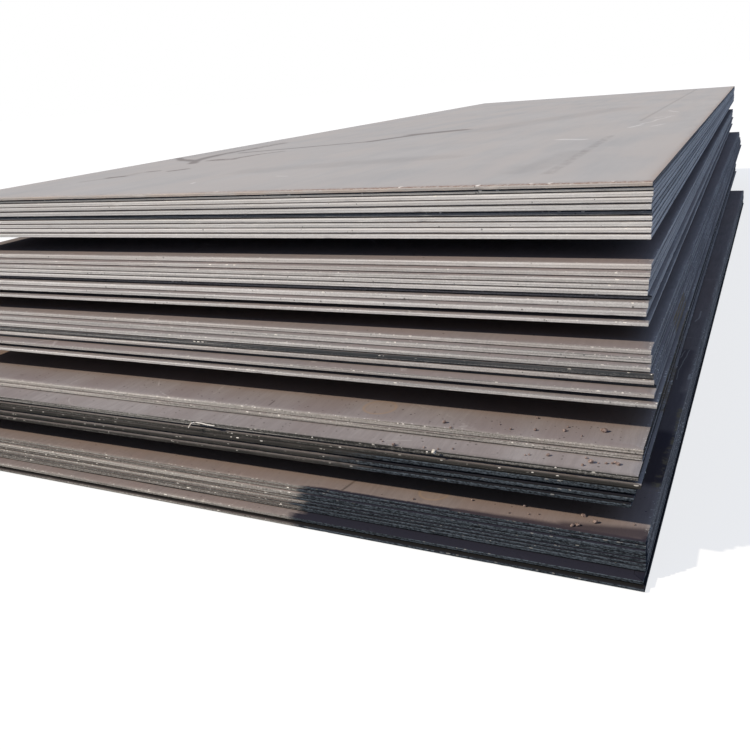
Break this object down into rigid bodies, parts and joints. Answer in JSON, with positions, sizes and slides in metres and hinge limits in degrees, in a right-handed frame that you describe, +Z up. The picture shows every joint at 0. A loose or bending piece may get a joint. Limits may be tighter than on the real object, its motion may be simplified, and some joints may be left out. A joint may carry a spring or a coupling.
{
  "type": "stack of steel plates",
  "caption": "Stack of large flat hot-rolled steel plates laid in lifts, parted by timber bearers, with uneven staggered front and side edges.",
  "frame": {"origin": "middle of the whole stack's footprint, on the plane of the lowest plate's underside", "axes": "+X across the stack, along the plates' short front edge, to the right seen from the front; +Y away from the front, along the plates' long side; +Z up"},
  "size_m": [2.351, 6.382, 0.7665],
  "materials": {
    "plate_steel": "hot-rolled, thin mill scale with light rust tint",
    "packer_steel": "hot-rolled, dark",
    "bearer_timber": "rough sawn"
  },
  "bodies": {
    "root": {"bearers_1": "bearer_timber", "bearers_2": "bearer_timber", "bearers_3": "bearer_timber", "bearers_4": "bearer_timber", "lift_1_plate_01": "plate_steel", "lift_1_plate_02": "plate_steel", "lift_1_plate_03": "plate_steel", "lift_1_plate_04": "plate_steel", "lift_1_plate_05": "plate_steel", "lift_1_plate_06": "plate_steel", "lift_1_plate_07": "plate_steel", "lift_1_plate_08": "plate_steel", "lift_1_plate_09": "plate_steel", "lift_1_plate_10": "plate_steel", "lift_2_packers_08": "packer_steel", "lift_2_plate_01": "plate_steel", "lift_2_plate_02": "plate_steel", "lift_2_plate_03": "plate_steel", "lift_2_plate_04": "plate_steel", "lift_2_plate_05": "plate_steel", "lift_2_plate_06": "plate_steel", "lift_2_plate_07": "plate_steel", "lift_2_plate_08": "plate_steel", "lift_2_plate_09": "plate_steel", "lift_3_packers_07": "packer_steel", "lift_3_plate_01": "plate_steel", "lift_3_plate_02": "plate_steel", "lift_3_plate_03": "plate_steel", "lift_3_plate_04": "plate_steel", "lift_3_plate_05": "plate_steel", "lift_3_plate_06": "plate_steel", "lift_3_plate_07": "plate_steel", "lift_3_plate_08": "plate_steel", "lift_4_packers_03": "packer_steel", "lift_4_packers_05": "packer_steel", "lift_4_packers_06": "packer_steel", "lift_4_plate_01": "plate_steel", "lift_4_plate_02": "plate_steel", "lift_4_plate_03": "plate_steel", "lift_4_plate_04": "plate_steel", "lift_4_plate_05": "plate_steel", "lift_4_plate_06": "plate_steel", "lift_4_plate_07": "plate_steel", "lift_5_packers_07": "packer_steel", "lift_5_plate_01": "plate_steel", "lift_5_plate_02": "plate_steel", "lift_5_plate_03": "plate_steel", "lift_5_plate_04": "plate_steel", "lift_5_plate_05": "plate_steel", "lift_5_plate_06": "plate_steel", "lift_5_plate_07": "plate_steel", "lift_5_plate_08": "plate_steel", "lift_5_plate_09": "plate_steel"}
  },
  "joints": []
}
